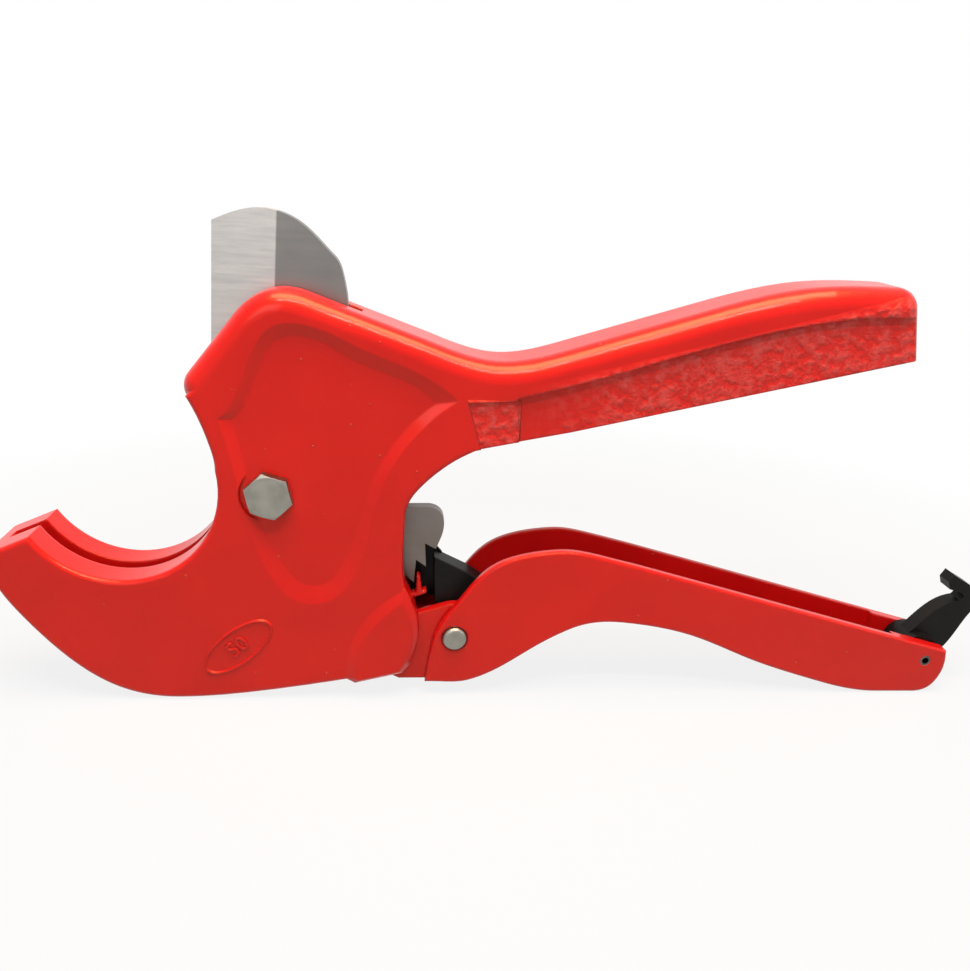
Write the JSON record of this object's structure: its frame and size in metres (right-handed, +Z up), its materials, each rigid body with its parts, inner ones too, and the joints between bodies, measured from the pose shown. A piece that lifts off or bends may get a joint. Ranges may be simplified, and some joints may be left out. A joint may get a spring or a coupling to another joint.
{
  "type": "ratchet plastic pipe cutter",
  "caption": "One-hand ratchet cutter for plastic pipe: cast jaw with upper handle, toothed blade on a pivot bolt, riveted lower handle with drive pawl and end latch.",
  "frame": {"origin": "centre of the round pipe seat, in the blade's middle plane", "axes": "+X from the jaw to the handle ends, +Y across the thickness away from the bolt's head and along the pipe, +Z up from the seat to the blade"},
  "size_m": [0.2758, 0.0301, 0.1291],
  "materials": {
    "red_casting": "glossy red paint over die-cast aluminium",
    "red_paint": "glossy red paint with slight orange peel",
    "blade_steel": "ground steel",
    "bolt_steel": "zinc-plated",
    "dark_steel": "blackened steel",
    "black_plastic": "satin black",
    "spring_steel": "drawn wire",
    "bush_brass": "plain bearing"
  },
  "bodies": {
    "frame": {"cast_frame": "red_casting", "pivot_bolt": "bolt_steel", "pivot_washer": "bolt_steel", "pivot_nut": "bolt_steel", "pivot_bush": "bush_brass", "spring_anchor_pin": "dark_steel", "blade_return_spring": "spring_steel", "holding_pawl_pin": "dark_steel", "holding_pawl_spring": "spring_steel", "handle_rivet": "bolt_steel", "handle_bush": "bush_brass", "handle_spring": "spring_steel"},
    "blade": {"blade": "blade_steel", "blade_spring_peg": "dark_steel"},
    "lower_handle": {"lower_handle": "red_paint", "drive_pawl_pin": "dark_steel", "drive_pawl_spring": "spring_steel", "latch_pin": "dark_steel"},
    "drive_pawl": {"drive_pawl": "black_plastic"},
    "holding_pawl": {"holding_pawl": "dark_steel"},
    "latch": {"latch": "black_plastic"}
  },
  "joints": [
    {"name": "blade_pivot", "type": "hinge", "parent": "frame", "child": "blade", "pos_m": [0.0386, 0, -0.0016], "axis": [0, -1, 0], "range_deg": [0, 108], "stiffness_Nm_per_rad": 0.1, "springref_deg": -34.38, "deforming": ["blade_return_spring"]},
    {"name": "handle_pivot", "type": "hinge", "parent": "frame", "child": "lower_handle", "pos_m": [0.0872, 0, -0.0432], "axis": [0, -1, 0], "range_deg": [0, 30], "stiffness_Nm_per_rad": 0.6, "springref_deg": -60.16, "deforming": ["handle_spring", "holding_pawl_spring"]},
    {"name": "drive_pawl_pivot", "type": "hinge", "parent": "lower_handle", "child": "drive_pawl", "pos_m": [0.0995, 0, -0.0428], "axis": [0, -1, 0], "range_deg": [-42.6, 0], "deforming": ["drive_pawl_spring"]},
    {"name": "holding_pawl_pivot", "type": "hinge", "parent": "frame", "child": "holding_pawl", "pos_m": [0.0605, 0, -0.0505], "axis": [0, -1, 0], "range_deg": [-1, 9], "stiffness_Nm_per_rad": 0.0005, "springref_deg": 17.19},
    {"name": "latch_pivot", "type": "hinge", "parent": "lower_handle", "child": "latch", "pos_m": [0.2244, 0, -0.0506], "axis": [0, -1, 0], "range_deg": [-30, 18]}
  ],
  "couplings": [
    {"joint": "drive_pawl_pivot", "follows": "handle_pivot", "ratio": -1.42},
    {"joint": "holding_pawl_pivot", "follows": "handle_pivot", "ratio": 0.23333}
  ]
}
